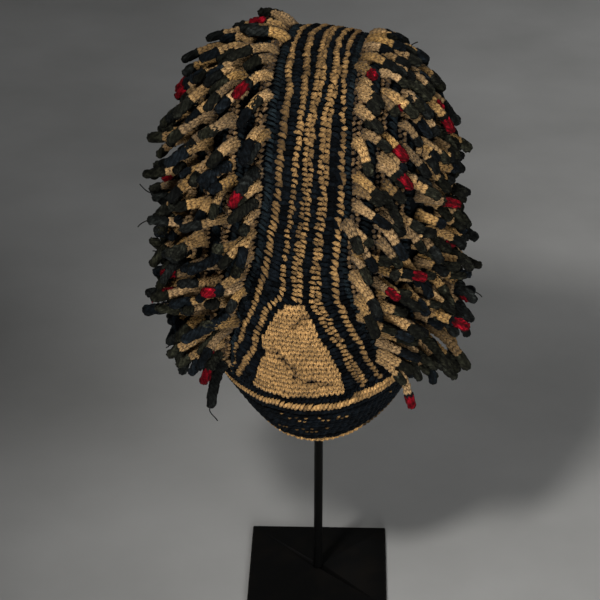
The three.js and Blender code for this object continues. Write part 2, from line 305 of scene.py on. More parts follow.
def yarn_material(name, sheen, shine, mottle, relief_strength):
    """Soft spun cotton: the dye of each stitch, with a mottle of fibres, painted shade in the grooves
    between its two plies and painted highlight on their crests, and a relief of the plies.
    """
    material = bpy.data.materials.new(name)
    material.use_nodes = True
    nodes, links = material.node_tree.nodes, material.node_tree.links
    shader = nodes["Principled BSDF"]
    shader.inputs["Roughness"].default_value = 0.92
    shader.inputs["Specular IOR Level"].default_value = shine
    shader.inputs["Sheen Weight"].default_value = sheen
    shader.inputs["Sheen Roughness"].default_value = 0.55
    dye = nodes.new("ShaderNodeAttribute")
    dye.attribute_name = "dye"
    twist = nodes.new("ShaderNodeAttribute")
    twist.attribute_name = "twist"
    place = nodes.new("ShaderNodeTexCoord")
    fibres = nodes.new("ShaderNodeTexNoise")
    fibres.inputs["Scale"].default_value = 1100
    fibres.inputs["Detail"].default_value = 3
    links.new(place.outputs["Object"], fibres.inputs["Vector"])
    shade = nodes.new("ShaderNodeMapRange")
    shade.inputs["From Min"].default_value = 0.3
    shade.inputs["From Max"].default_value = 0.7
    shade.inputs["To Min"].default_value = 1 - mottle
    shade.inputs["To Max"].default_value = 1 + mottle
    links.new(fibres.outputs["Fac"], shade.inputs["Value"])
    turns = nodes.new("ShaderNodeMath")
    turns.operation = "MULTIPLY"
    turns.inputs[1].default_value = 2 * math.pi
    links.new(twist.outputs["Fac"], turns.inputs[0])
    plies = nodes.new("ShaderNodeMath")
    plies.operation = "SINE"
    links.new(turns.outputs[0], plies.inputs[0])
    # Painted shade and highlight: the dye is darker in the grooves between the plies and lighter on their
    # crests.
    painted_ply_shade = nodes.new("ShaderNodeMapRange")
    painted_ply_shade.inputs["From Min"].default_value = -1
    painted_ply_shade.inputs["To Min"].default_value = 0.82
    painted_ply_shade.inputs["To Max"].default_value = 1.15
    links.new(plies.outputs[0], painted_ply_shade.inputs["Value"])
    mottle_and_ply_shade = nodes.new("ShaderNodeMath")
    mottle_and_ply_shade.operation = "MULTIPLY"
    links.new(shade.outputs["Result"], mottle_and_ply_shade.inputs[0])
    links.new(painted_ply_shade.outputs["Result"], mottle_and_ply_shade.inputs[1])
    dyed = nodes.new("ShaderNodeVectorMath")
    dyed.operation = "SCALE"
    links.new(dye.outputs["Color"], dyed.inputs[0])
    links.new(mottle_and_ply_shade.outputs[0], dyed.inputs["Scale"])
    links.new(dyed.outputs["Vector"], shader.inputs["Base Color"])
    relief = nodes.new("ShaderNodeMath")
    relief.operation = "MULTIPLY_ADD"
    relief.inputs[1].default_value = 1.0
    links.new(fibres.outputs["Fac"], relief.inputs[0])
    links.new(plies.outputs[0], relief.inputs[2])
    bump = nodes.new("ShaderNodeBump")
    bump.inputs["Strength"].default_value = relief_strength
    bump.inputs["Distance"].default_value = 0.0004
    links.new(relief.outputs[0], bump.inputs["Height"])
    links.new(bump.outputs["Normal"], shader.inputs["Normal"])
    return material


def grains(places, along, normals, length, width, thick, arch, dye, sides=6, bends=(-0.6, 0.05, 0.62),
           swell=(0.86, 1.0, 0.6)):
    """Points, triangles, dyes and twists of short curved grains of yarn, one for each stitch."""
    count = len(places)
    end_sink, end_shade, yarn_turns = 0.42, 0.45, 1.1
    length, width, thick, arch = (np.broadcast_to(value, count) for value in (length, width, thick, arch))
    across = unit(np.cross(normals, along))
    turn = (np.arange(sides) + 0.5) * 2 * math.pi / sides - math.pi / 2
    shares = np.concatenate([[-1.0], np.repeat(bends, sides), [1.0]])
    radii = np.concatenate([[0.0], np.repeat(swell, sides), [0.0]])
    turns = np.concatenate([[0.0], np.tile(turn, len(bends)), [0.0]])
    middle = (places[:, None] + along[:, None] * (length[:, None] / 2 * shares)[..., None]
              + across[:, None] * (arch[:, None] * (1 - shares ** 2))[..., None]
              - normals[:, None] * (thick[:, None] * end_sink * shares ** 2)[..., None])
    points = (middle + across[:, None] * (width[:, None] / 2 * radii * np.cos(turns))[..., None]
              + normals[:, None] * (thick[:, None] / 2 * radii * np.sin(turns))[..., None])
    faces = []
    last = len(shares) - 1
    for i in range(sides):
        j = (i + 1) % sides
        faces.append((0, 1 + j, 1 + i))
        for ring in range(len(bends) - 1):
            a, b = 1 + ring * sides + i, 1 + ring * sides + j
            faces += [(a, b, b + sides), (a, b + sides, a + sides)]
        faces.append((last - sides + i, last - sides + j, last))
    faces = np.array(faces)
    triangles = faces[None] + (np.arange(count) * len(shares))[:, None, None]
    dyes = np.repeat((np.asarray(dye) + np.zeros((count, 3)))[:, None], len(shares), axis=1)
    # Painted shade: each grain's dye darkens towards its ends, where they sink under their neighbours.
    dyes = dyes * (1 - end_shade * shares ** 2)[None, :, None]
    twists = np.broadcast_to(yarn_turns * shares + turns / (2 * math.pi), (count, len(shares)))
    return points.reshape(-1, 3), triangles.reshape(-1, 3), dyes.reshape(-1, 3), twists.reshape(-1)


def cotton_piece(name, parts, material):
    """One mesh from parts, each with its points, triangles, dyes and twists."""
    starts = np.cumsum([0] + [len(part[0]) for part in parts[:-1]])
    points = np.concatenate([part[0] for part in parts])
    triangles = np.concatenate([part[1] + start for part, start in zip(parts, starts)])
    dyes = np.concatenate([part[2] for part in parts])
    twists = np.concatenate([part[3] for part in parts])
    mesh = bpy.data.meshes.new(name)
    mesh.vertices.add(len(points))
    mesh.vertices.foreach_set("co", points.astype(np.float32).ravel())
    mesh.loops.add(triangles.size)
    mesh.loops.foreach_set("vertex_index", triangles.astype(np.int32).ravel())
    mesh.polygons.add(len(triangles))
    mesh.polygons.foreach_set("loop_start", np.arange(0, triangles.size, 3, dtype=np.int32))
    mesh.update(calc_edges=True)
    mesh.validate()
    mesh.shade_smooth()
    colour = mesh.color_attributes.new(name="dye", type="FLOAT_COLOR", domain="POINT")
    colour.data.foreach_set("color", np.concatenate([dyes, np.ones((len(dyes), 1))], axis=1).ravel())
    twist = mesh.attributes.new(name="twist", type="FLOAT", domain="POINT")
    twist.data.foreach_set("value", twists.astype(np.float32))
    mesh.materials.append(material)
    piece = bpy.data.objects.new(name, mesh)
    bpy.context.collection.objects.link(piece)
    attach(piece, "root")
    return piece


def plain_wall(heights, inner, outer, sides, dye):
    """A wall with the same dye all over, ready to join with stitches."""
    points, triangles = wall(heights, inner, outer, sides)
    return points, triangles, np.zeros_like(points) + dye, np.zeros(len(points))


def varied(dye, count, spread):
    """The dye of each of a number of stitches: it drifts along the yarn and differs by stitch."""
    drift = np.convolve(chance.normal(size=count + 8), np.full(9, 1 / 3), "valid")
    return np.asarray(dye) * (1 + spread * (drift + chance.normal(size=count))).clip(0.35, 1.8)[:, None]


def round_row(up, pitch, offset, lean, length, width, thick, arch, dye, spread,
              span=(-4, 4), wave=0.0, kept=1.0):
    """A row of stitches round the cap, at a share of its height, leaning by an angle.

    A span of angles, counted from the front, leaves the rest of the row out, and of the stitches
    inside the span a share is kept.
    """
    full_round = np.linspace(0, 2 * math.pi, 361)
    outline = face(full_round, np.full(len(full_round), up))
    steps = np.linalg.norm(np.diff(outline, axis=0), axis=1)
    lengths = np.concatenate([[0], np.cumsum(steps)])
    count = round(lengths[-1] / pitch)
    targets = (np.arange(count) + chance.uniform(-0.12, 0.12, count) + 0.5) * lengths[-1] / count
    angle = np.interp(targets, lengths, full_round)
    angle = (angle + math.pi / 2 + math.pi) % (2 * math.pi) - math.pi
    inside = (angle > span[0]) & (angle < span[1]) & (chance.random(count) < kept)
    angle = angle[inside] - math.pi / 2
    count = len(angle)
    ups = up + chance.normal(size=count) * 0.0012 + wave * (np.sin(7 * angle + 1) + np.sin(17 * angle))
    normals = outward(angle, ups)
    places = face(angle, ups) + normals * offset
    ahead = unit(face(angle + 0.01, ups) - face(angle - 0.01, ups))
    above = np.cross(normals, ahead)
    lean = lean + chance.normal(size=count) * 0.08
    along = unit(ahead * np.cos(lean)[:, None] + above * np.sin(lean)[:, None])
    return grains(places, along, normals, length, width, thick, arch, varied(dye, count, spread))


tan_dye = (0.46, 0.264, 0.096)
darker_tan_dye = (0.10, 0.060, 0.025)
indigo_dye = (0.0028, 0.0042, 0.0058)
tan_yarn = yarn_material("tan_cotton_yarn", 0.06, 0.15, 0.2, 0.6)
indigo_yarn = yarn_material("indigo_cotton_yarn", 0.01, 0.05, 0.2, 0.6)
cap_high_mm = 249
edge_high_mm = 3.0
edge_foot = 0.0005
edge_top = edge_high_mm / cap_high_mm
rim_wall = 3.4 * mm
wall_sides = 84
chain = {"pitch": 3.4 * mm, "length": 5 * mm, "width": 2.6 * mm, "thick": 2.2 * mm, "arch": 0.2 * mm}
# The edge row is tan at the front and a darker tan round the sides and back.
edge_stretches = [
    {"dye": tan_dye, "spread": 0.16, "span": (-0.9, 0.62)},
    {"dye": darker_tan_dye, "spread": 0.3, "span": (0.62, 4)},
    {"dye": darker_tan_dye, "spread": 0.3, "span": (-4, -0.9)},
]
edge_parts = [
    # The wall under the chain is tan at 0.4 of the dye: painted shade where it shows between the stitches.
    plain_wall([edge_foot, edge_top], -rim_wall + 0.8 * mm, -1.0 * mm, wall_sides, np.array(tan_dye) * 0.4),
    round_row(edge_top * 0.4, offset=-2.5 * mm, lean=-0.25, dye=tan_dye, spread=0.16, **chain),
]
for stretch in edge_stretches:
    edge_parts.append(round_row(edge_top * 0.5, offset=-0.9 * mm, lean=0.25, **chain, **stretch))
edge = cotton_piece("edge_stitches", edge_parts, tan_yarn)
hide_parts("edge_row")

# Rim: close rows of near-black indigo cotton above the edge row, with a few tan stitches that
# show through at the front, where the yarn carried inside the rows comes to the face.
gap_mm = 0.3
rim_high_mm = 23.0
rim_from = (edge_high_mm + gap_mm) / cap_high_mm
rim_to = rim_from + rim_high_mm / cap_high_mm
rim_rows = 11
speck_rows = [(0.100, (-0.2, 0.5)), (0.090, (-0.15, 0.95)), (0.058, (-0.2, 0.35)), (0.047, (-0.3, 0.2))]
# The wall under the rows is indigo at 0.6 of the dye: painted shade where it shows between the stitches.
rim_parts = [plain_wall(np.linspace(rim_from, rim_to, 6), -rim_wall + 0.6 * mm, -1.4 * mm, wall_sides,
                        np.array(indigo_dye) * 0.6)]
for i in range(rim_rows):
    row_up = rim_from + (i + 0.5) / rim_rows * (rim_to - rim_from)
    rim_parts.append(round_row(
        row_up, pitch=5.2 * mm, offset=-0.9 * mm, lean=0.05, length=8.4 * mm, width=2.2 * mm,
        thick=2.3 * mm, arch=0.2 * mm, dye=indigo_dye, spread=0.35, wave=0.0006))
    if i % 2:
        rim_parts.append(round_row(
            row_up, pitch=7.5 * mm, offset=-rim_wall + 0.5 * mm, lean=-0.2, length=8.0 * mm,
            width=4.0 * mm, thick=1.2 * mm, arch=0.3 * mm, dye=indigo_dye, spread=0.3))
for up, span in speck_rows:
    rim_parts.append(round_row(
        up, pitch=3.1 * mm, offset=0.0, lean=0.15, length=2.8 * mm, width=1.1 * mm, thick=1.2 * mm,
        arch=0, dye=np.array(tan_dye) * 0.42, spread=0.5, span=span, wave=0.002, kept=0.45))
rim = cotton_piece("rim_stitches", rim_parts, indigo_yarn)
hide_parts("rim_band")

# Cap wall: the hollow body of the cap, worked in thick cotton. Its face is covered by the
# stitches below, and its inside shows the backs of the rows.
cap_from = rim_to + gap_mm / cap_high_mm
cap_wall = 2.6 * mm
cap_sides = 112
cap_heights = np.concatenate([
    np.linspace(cap_from, widest_at, 24)[:-1],
    widest_at + (1 - widest_at) * np.sin(np.linspace(0, math.pi / 2, 40)),
])
cap_heights[-1] = 1
# The wall is indigo at 0.8 of the stitches' dye: painted shade where it shows between them and inside the
# cap.
cap = cotton_piece("cap_wall", [
    plain_wall(cap_heights, -cap_wall, -1.8 * mm, cap_sides, np.array(indigo_dye) * 0.8),
], indigo_yarn)
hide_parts("cap_shell")

# Collar: between the rim and the rest, one row of tan with indigo below and above it, worked of
# tall leaning stitches whose tips bite into the next row. At the front right a second tan row
# stands in the place of indigo.
collar_rows = [
    {"up": 0.118, "lean": 0.3, "length": 6.5 * mm, "dye": indigo_dye, "spread": 0.3, "span": (-4, 4)},
    {"up": 0.136, "lean": 1.0, "length": 8.2 * mm, "dye": tan_dye, "spread": 0.2, "span": (-4, 4)},
    {"up": 0.154, "lean": 1.2, "length": 7.0 * mm, "dye": tan_dye, "spread": 0.25, "span": (0.52, 1.5)},
    {"up": 0.158, "lean": 0.9, "length": 6.0 * mm, "dye": indigo_dye, "spread": 0.3, "span": (-4, 0.5)},
    {"up": 0.172, "lean": 1.2, "length": 6.4 * mm, "dye": indigo_dye, "spread": 0.3, "span": (-4, 4)},
]
collar_parts = {True: [], False: []}
for row in collar_rows:
    collar_parts[row["dye"] == tan_dye].append(round_row(
        pitch=2.6 * mm, offset=-0.4 * mm, width=2.5 * mm, thick=2.4 * mm, arch=0.4 * mm, wave=0.0016, **row))

# Striped band: bare rows of crochet that run from the front of the rim over the crown and down
# the back, five tan stripes on indigo. The middle one opens into a plain tan panel, front and back.
stripes = {
    "outer left": [(0.18, -45, -43), (0.28, -39.5, -37), (0.32, -35, -31.5), (0.36, -32, -28),
                   (0.43, -24.5, -21), (0.54, -17.5, -11.6), (0.72, -10.8, -5.4),
                   (0.94, -9.5, -4.5), (1.0, -13, -9)],
    "inner left": [(0.18, -42, -38), (0.22, -38, -33.5), (0.26, -32, -27.5), (0.29, -27.5, -23),
                   (0.34, -24.5, -20), (0.42, -17, -13), (0.44, -12.5, -9), (0.47, -6.5, -2.5),
                   (0.54, -5, -1.8), (0.72, 0, 3),
                   (0.875, 0.9, 4.8), (0.975, 0, 4), (1.0, -4.5, 0.5)],
    "centre": [(0.18, -30, 31), (0.20, -26, 30), (0.26, -20.5, 28), (0.30, -16, 24), (0.315, -18, 22.5),
               (0.34, -17.5, 19), (0.38, -13, 16), (0.42, -8, 11.5),
               (0.455, 1.2, 8.6), (0.54, 1.2, 8), (0.72, 6.6, 12.6), (0.875, 6, 11.5), (0.975, 7.5, 13.4),
               (1.0, 5, 10.5)],
    "inner right": [(0.18, 38, 46), (0.20, 37, 43.5), (0.315, 29, 34), (0.455, 11, 19), (0.54, 13.2, 18.7),
                    (0.72, 16.3, 21.7), (0.875, 14.5, 21), (0.975, 17, 21.5), (1.0, 13.5, 17)],
    "outer right": [(0.18, 50, 53), (0.20, 47, 50.5), (0.315, 39, 43.5), (0.455, 25, 30.5),
                    (0.54, 23.9, 29.4), (0.72, 27.4, 32.2), (0.875, 26.8, 29.6), (1.0, 20.5, 23.5)],
}
band_edges = [
    {"up": 0.00, "middle": 0.10, "half": 0.74},
    {"up": 0.20, "middle": 0.09, "half": 0.61},
    {"up": 0.32, "middle": 0.07, "half": 0.52},
    {"up": 0.46, "middle": 0.05, "half": 0.37},
    {"up": 0.56, "middle": 0.08, "half": 0.29},
    {"up": 0.72, "middle": 0.13, "half": 0.27},
    {"up": 1.00, "middle": 0.09, "half": 0.24},
]
stripe_work = {
    "outer left": {"pitch": 3.4 * mm, "lean": 0.5, "widest": 6.2 * mm},
    "inner left": {"pitch": 3.2 * mm, "lean": 0.35, "widest": 3.4 * mm},
    "centre": {"pitch": 3.0 * mm, "lean": 0.45, "widest": 3.4 * mm},
    "inner right": {"pitch": 3.2 * mm, "lean": 0.5, "widest": 3.4 * mm},
    "outer right": {"pitch": 4.0 * mm, "lean": 0.8, "widest": 6.2 * mm},
}
stripe_dye = (0.26, 0.149, 0.053)
band_from = 0.18
panel_to = 0.45


def stripe_side(name, side, up):
    """Distance of one side of a stripe from the cap's middle. Side 1 is its left, 2 its right."""
    table = np.array(stripes[name])
    ragged = 0.35 * mm * np.sin(173 * up + 2 * side + len(name)) + 0.3 * mm * np.sin(71 * up + 5 * side)
    return np.interp(up, table[:, 0], table[:, side]) * mm + ragged


def lumps(points):
    """How far the soft cap bulges or sinks at some points."""
    x, y, z = (points[..., i] / mm for i in range(3))
    wide = np.sin(x / 6.1 + z / 9.3) * np.sin(y / 7.4 - z / 11.7 + 1.1)
    return (0.55 * wide + 0.35 * np.sin(x / 3.3 - 1.7) * np.sin(z / 4.1 + y / 3.7)) * mm


def band_edge(side, up):
    """Distance of the band's edge from the cap's middle, on one side."""
    ups = [row["up"] for row in band_edges]
    half = np.interp(up, ups, [row["half"] for row in band_edges])
    middle = np.interp(up, ups, [row["middle"] for row in band_edges])
    return plan_width["half"] * (half + side * middle)


def run_over(across, start, spacing):
    """Evenly spaced places on the face, along a line from the front over the crown to the back."""
    ups = np.linspace(1, 0.6, 2001)
    top = ups[np.argmax(np.abs(across(ups)) <= half_axis(plan_width, ups))]
    travel = np.linspace(0, math.pi, 361)
    up = start + (top - start) * np.sin(travel)
    turn = np.arccos(np.clip(across(up) / np.maximum(half_axis(plan_width, up), 1e-9), -1, 1))
    angle = np.where(travel < math.pi / 2, -turn, turn)
    points = face(angle, up)
    normals = outward(angle, up)
    lengths = np.concatenate([[0], np.cumsum(np.linalg.norm(np.diff(points, axis=0), axis=1))])
    count = round(lengths[-1] / spacing)
    targets = (np.arange(count) + 0.5 + chance.uniform(-0.1, 0.1, count)) * lengths[-1] / count

    def pick(values):
        return np.stack([np.interp(targets, lengths, values[:, i]) for i in range(3)], axis=1)

    ahead = unit(pick(np.gradient(points, axis=0)))
    return pick(points), unit(pick(normals)), ahead, np.interp(targets, lengths, up)


def worked_row(left, right, start, dye, spread, offset, pitch=3.0 * mm, widest=6.2 * mm, skip=None,
               lean=0.42, full=0.95, crown_full=0.95, arch=0.9 * mm, sides=6, bends=(-0.6, 0.05, 0.62),
               swell=(0.8, 1.0, 0.62)):
    """Leaning stitches that fill a stripe from its left to its right side, one over the other."""
    places, normals, ahead, up = run_over(lambda ups: (left(ups) + right(ups)) / 2, start, pitch)
    wide = right(up) - left(up)
    narrowest, overlap, thick = 1.2 * mm, 1.9 * mm, 2.7 * mm
    parts = []
    keep = wide > narrowest
    if skip is not None:
        keep &= ~skip(up)
    counts = np.maximum(1, np.round(wide / widest)).astype(int)
    for number in np.unique(counts[keep]):
        chosen = keep & (counts == number)
        for i in range(number):
            size = int(chosen.sum())
            jitter = chance.normal(size=(5, size, 1))
            rightward = unit(np.cross(ahead[chosen], normals[chosen]))
            shift = wide[chosen] * ((i + 0.5) / number - 0.5)
            place = places[chosen] + rightward * (shift[:, None] + jitter[0] * 0.35 * mm)
            place = place + ahead[chosen] * jitter[1] * 0.3 * mm
            place = place + normals[chosen] * (offset + jitter[2] * 0.25 * mm + lumps(place)[:, None])
            tilt = lean + jitter[3] * 0.16
            snug = np.interp(up[chosen], [0.7, 0.92], [full, crown_full])
            along = unit(rightward * np.cos(tilt) - ahead[chosen] * np.sin(tilt))
            parts.append(grains(
                place, along, normals[chosen],
                (wide[chosen] / number + overlap) * (1 + 0.1 * jitter[4][:, 0]),
                pitch * snug * chance.uniform(0.88, 1.12, size), thick, arch,
                varied(dye, size, spread), sides, bends, swell))
    return parts


def in_panel(up):
    return up < panel_to


names = list(stripes)
tan_parts = collar_parts[True]
indigo_parts = collar_parts[False]
for name in names:
    tan_parts += worked_row(
        lambda up, name=name: stripe_side(name, 1, up), lambda up, name=name: stripe_side(name, 2, up),
        band_from, stripe_dye, 0.22, 0.15 * mm, full=0.74, crown_full=1.05, arch=1.3 * mm,
        skip=in_panel if name == "centre" else None, **stripe_work[name])
band_tuck = 1.5 * mm
grounds = [
    (lambda up, name=before: stripe_side(name, 2, up), lambda up, name=after: stripe_side(name, 1, up))
    for before, after in zip(names[:-1], names[1:])
]
grounds += [
    (lambda up: -band_edge(-1, up) - band_tuck, lambda up: stripe_side(names[0], 1, up)),
    (lambda up: stripe_side(names[-1], 2, up), lambda up: band_edge(1, up) + band_tuck),
]
for left_side, right_side in grounds:
    indigo_parts += worked_row(left_side, right_side, band_from, indigo_dye, 0.6, -0.1 * mm, lean=0.25)

# Panel: the plain tan cotton that the middle stripe opens into, front and back. It is worked in
# level courses of small upright stitches, puffed out in its middle, and has a few soft creases.
panel_course = 3.3 * mm
panel_stitch = 2.9 * mm
panel_puff = 1.6 * mm
panel_sunk = -1.0 * mm
crease_deep = 3.2 * mm
crease_half = 1.8
creases = [
    {"across": 6, "up": 0.395, "long": 8, "turn": 0.7},
    {"across": 2, "up": 0.245, "long": 7, "turn": 1.5},
    {"across": 13, "up": 0.222, "long": 12, "turn": -0.3},
    {"across": -12, "up": 0.300, "long": 8, "turn": -0.25},
    {"across": -5, "up": 0.290, "long": 9, "turn": -0.9},
]


def creased(across, up):
    """How far into a crease of the panel some places are, from 0 to about 1."""
    share = 0
    for crease in creases:
        x = across / mm - crease["across"]
        y = (up - crease["up"]) * height / mm
        lengthways = x * math.cos(crease["turn"]) + y * math.sin(crease["turn"])
        sideways = y * math.cos(crease["turn"]) - x * math.sin(crease["turn"])
        share = share + np.exp(-(lengthways / crease["long"]) ** 4 - (sideways / crease_half) ** 2)
    return share


def panel_face(across, up, back):
    """Points of the panel's soft face, puffed out in its middle, lumpy and creased."""
    left, right = stripe_side("centre", 1, up), stripe_side("centre", 2, up)
    turn = np.arccos(np.clip(across / half_axis(plan_width, up), -1, 1))
    angle = turn if back else -turn
    points = face(angle, up)
    part = np.clip((across - left) / (right - left), 0, 1)
    puff = panel_puff * np.sqrt(np.sin(part * math.pi))
    rise = puff + 1.5 * lumps(points) - crease_deep * creased(across, up)
    return points + outward(angle, up) * np.maximum(rise, panel_sunk)[:, None]


for back in (False, True):
    for k in range(round((panel_to - band_from) * height / panel_course)):
        up = band_from + (k + 0.5) * panel_course / height
        left, right = stripe_side("centre", 1, up), stripe_side("centre", 2, up)
        count = max(2, round((right - left) / panel_stitch))
        across = left + (np.arange(2 * count) + 0.5) / (2 * count) * (right - left)
        wander = 0.004 * np.sin(across / (9 * mm) + 1.2) * np.sin(25 * up + across / (14 * mm))
        ups = up + wander + chance.normal(size=2 * count) * 0.0008
        near = 1.1 * mm
        level = unit(panel_face(across + near, ups, back) - panel_face(across - near, ups, back))
        level = -level if back else level
        rise = panel_face(across, ups + near / height, back) - panel_face(across, ups - near / height, back)
        normals = unit(np.cross(level, rise))
        places = panel_face(across, ups, back)
        ground = places - normals * 1.2 * mm
        places = places + chance.normal(size=places.shape) * 0.16 * mm
        # Painted shade in the creases: the stitches and their backing are dyed darker there, by up to a
        # half.
        crease_painted_shade = 1 - 0.5 * np.minimum(creased(across, ups), 1)[:, None]
        above = np.cross(normals, level)
        sway = np.where(np.arange(2 * count) % 2 == 0, -1, 1)[:, None] * 0.5
        along = unit(above + level * sway - normals * 0.32)
        tan_parts.append(grains(places, along, normals, 5.2 * mm, 2.0 * mm, 2.2 * mm, 0,
                                varied(tan_dye, 2 * count, 0.13) * crease_painted_shade,
                                sides=5, bends=(-0.5, 0.5), swell=(0.9, 0.9)))
        # Under the stitches lies a backing of tan at 0.4 of the dye: painted shade where it shows between
        # them.
        tan_parts.append(grains(ground, level, normals, 4.4 * mm, 4.6 * mm, 1.4 * mm, 0,
                                np.array(tan_dye) * 0.4 * crease_painted_shade,
                                sides=4, bends=(-0.4, 0.4), swell=(1.0, 1.0)))

cotton_piece("tan_band_stitches", tan_parts, tan_yarn)
cotton_piece("indigo_band_stitches", indigo_parts, indigo_yarn)

# Side ground: rows over both sides of the cap, from the band outwards. Raised ridges in tan,
# dyed darker as painted shade under the fingers, carry the columns of fingers, and plain indigo
# rows lie between them as dark blue furrows.
column_spread = 17.5 * mm
ridge_share = 0.36
ground_from = cap_from + 0.07
furrow_dye = (0.0078, 0.0125, 0.0155)
# The ridges' tan is darker than the fingers' tan: painted shade under the fingers.
ridge_painted_shade_dye = (0.17, 0.100, 0.042)


def side_columns(side):
    """How many columns of fingers a side has, and how far round the cap they reach."""
    around = math.acos(band_edge(side, widest_at) / plan_width["half"])
    count = round(around * (plan_width["half"] + plan_depth["half"]) / 2 / column_spread)
    return count, around


def column_share(side, part):
    """The share of the way from the band's edge to the side, at a part of the way round."""
    edge = band_edge(side, widest_at)
    across = plan_width["half"] * math.cos(side_columns(side)[1] * (1 - part))
    return (across - edge) / (plan_width["half"] - edge)


def column_place(side, share, up):
    """Distance of a column from the cap's middle, at a share of the cap's height."""
    flank = np.where(up < widest_at, half_axis(plan_width, up), plan_width["half"])
    return side * (band_edge(side, up) + (flank - band_edge(side, up)) * share)


def ground_row(side, near, far, dye, spread, offset, pitch, lean):
    """A row of the ground, between two shares of the way from the band to the side."""
    shares = sorted((column_share(side, near), column_share(side, far)), reverse=side < 0)
    return worked_row(
        lambda up: column_place(side, shares[0], up), lambda up: column_place(side, shares[1], up),
        ground_from, dye, spread, offset, pitch, lean=lean, sides=4, bends=(-0.45, 0.5), swell=(0.9, 0.8))


ridge_rows = [(-0.32, 1.4 * mm, -0.7), (0, 2.4 * mm, 0.7), (0.32, 1.4 * mm, -0.7)]
row_half = 0.18 * ridge_share
furrow = {"dye": furrow_dye, "spread": 0.35, "offset": 0.8 * mm, "pitch": 3.0 * mm, "lean": 0.5}
for side, label in ((-1, "left"), (1, "right")):
    count, _ = side_columns(side)
    parts = {"tan": [], "indigo": []}
    for i in range(count):
        for spot, offset, lean in ridge_rows:
            middle = i + 0.5 + spot * ridge_share
            parts["tan"] += ground_row(
                side, (middle - row_half) / count, (middle + row_half) / count,
                ridge_painted_shade_dye, 0.5, offset, 3.4 * mm, lean)
        near = (i - 0.5 + ridge_share / 2) / count if i else 0
        far = (i + 0.5 - ridge_share / 2) / count
        parts["indigo"] += ground_row(side, near, far, **furrow)
    parts["indigo"] += ground_row(side, (count - 0.5 + ridge_share / 2) / count, 1, **furrow)
    cotton_piece(f"ridge_stitches_{label}", parts["tan"], tan_yarn)
    cotton_piece(f"furrow_stitches_{label}", parts["indigo"], indigo_yarn)

# Fingers: narrow crocheted tubes, worked into the ridges in columns and stuffed with their own
# yarn ends. Each starts tan and wide and ends in indigo, some in red. A few are indigo nearly
# all the way.
finger_length = 28 * mm
finger_radius = 3.2 * mm
finger_spread = 20 * mm
first_finger = 0.19
finger_rise = 0.30
hang = {
    "left": {"lean": -0.55, "crown_sag": 2.4, "sag_heights": [0, 0.34, 1], "sags": [1.7, 0.25, 0.25],
             "length_heights": [0, 0.45, 1], "lengths": [1.55, 1, 1]},
    "right": {"lean": 0.9, "crown_sag": 3.2, "sag_heights": [0, 0.34, 1], "sags": [4, 0.55, 0.55],
              "length_heights": [0, 0.45, 0.7, 1], "lengths": [1.7, 1, 0.85, 0.7]},
}
variety = {"place": 0.28, "length": 0.18, "sag": 0.55, "sideways": 0.75, "up": 0.012, "round": 0.065}
between_length = 0.74
between_from = -0.35
root_dye = (0.46, 0.266, 0.105)
row_pitch = 3.1 * mm
end_starts = (0.58, 0.80)
tan_fingers = 0.94
dark_from = 0.12
red_longs = (6.0, 8.5)
taper_step = 0.06
row_sway = 0.36
grain_deep = 1.1 * mm
core_deep = 1.4 * mm
core_sides = 7
round_end = 3.0 * mm
end_ring = 1.3 * mm
end_bumps = 0.4 * mm
end_sides = 10


def wobble(number, purpose):
    """A fixed irregularity from -1 to 1, for each finger and purpose."""
    wave = math.sin(number * 12.9898 + purpose * 78.233) * 43758.5453
    return 2 * (wave - math.floor(wave)) - 1


def column_feet(side, share, first_number):
    """The feet of the fingers of one column, from the front of the rim over the top to the back."""
    def cosine(up):
        return side * column_place(side, share, up) / np.maximum(half_axis(plan_width, up), 1e-9)

    ups = 1 - np.arange(600) * 0.001
    top = ups[np.argmax(cosine(ups) <= 1)]
    travel = np.linspace(0, math.pi, 61)
    up = first_finger + (top - first_finger) * np.sin(travel)
    turn = np.arccos(np.minimum(cosine(up), 1))
    angle = np.where(travel < math.pi / 2, -turn, turn)
    if side < 0:
        angle = math.pi - angle
    points = face(angle, up)
    lengths = np.concatenate([[0], np.cumsum(np.linalg.norm(np.diff(points, axis=0), axis=1))])
    count = round(lengths[-1] / finger_spread)
    feet = []
    for i in range(3 * count - 2):
        number = first_number + i / 3
        main = i % 3 == 0
        aside = 0 if main else 1
        target = ((i / 3 + 0.5 + variety["place"] * wobble(number, 1)) / count) * lengths[-1]
        if main or wobble(number, 5) > between_from:
            feet.append({
                "number": number,
                "main": main,
                "up": float(np.interp(target, lengths, up)) + aside * variety["up"] * wobble(number, 7),
                "angle": (float(np.interp(target, lengths, angle))
                          + aside * variety["round"] * wobble(number, 6)),
            })
    return feet


def finger_line(foot, held):
    """The line that a finger follows: straight out of the ground, then sagging downhill."""
    angle, up, number = np.array(foot["angle"]), np.array(foot["up"]), foot["number"]
    normal = outward(angle, up)
    start = face(angle, up) + normal * 1.5 * mm
    reach = np.interp(foot["up"], held["length_heights"], held["lengths"])
    reach *= 1 if foot["main"] else between_length
    length = finger_length * reach * (1 + variety["length"] * wobble(number, 2))
    downhill = unit(np.array([0, 0, -1]) + normal * normal[2])
    sideways = np.cross(normal, downhill)
    across = np.array([1, 0, 0]) - normal * normal[0]
    sag = np.interp(foot["up"], held["sag_heights"], held["sags"])
    sag += held["crown_sag"] * max(0, normal[2]) + variety["sag"] * wobble(number, 3)
    end = unit(normal + downhill * sag + across * held["lean"]
               + sideways * variety["sideways"] * wobble(number, 4))
    bend = start + normal * length * finger_rise
    tip = start + end * length
    t = np.linspace(0, 1, 41)[:, None]
    return (1 - t) ** 2 * start + 2 * t * (1 - t) * bend + t ** 2 * tip


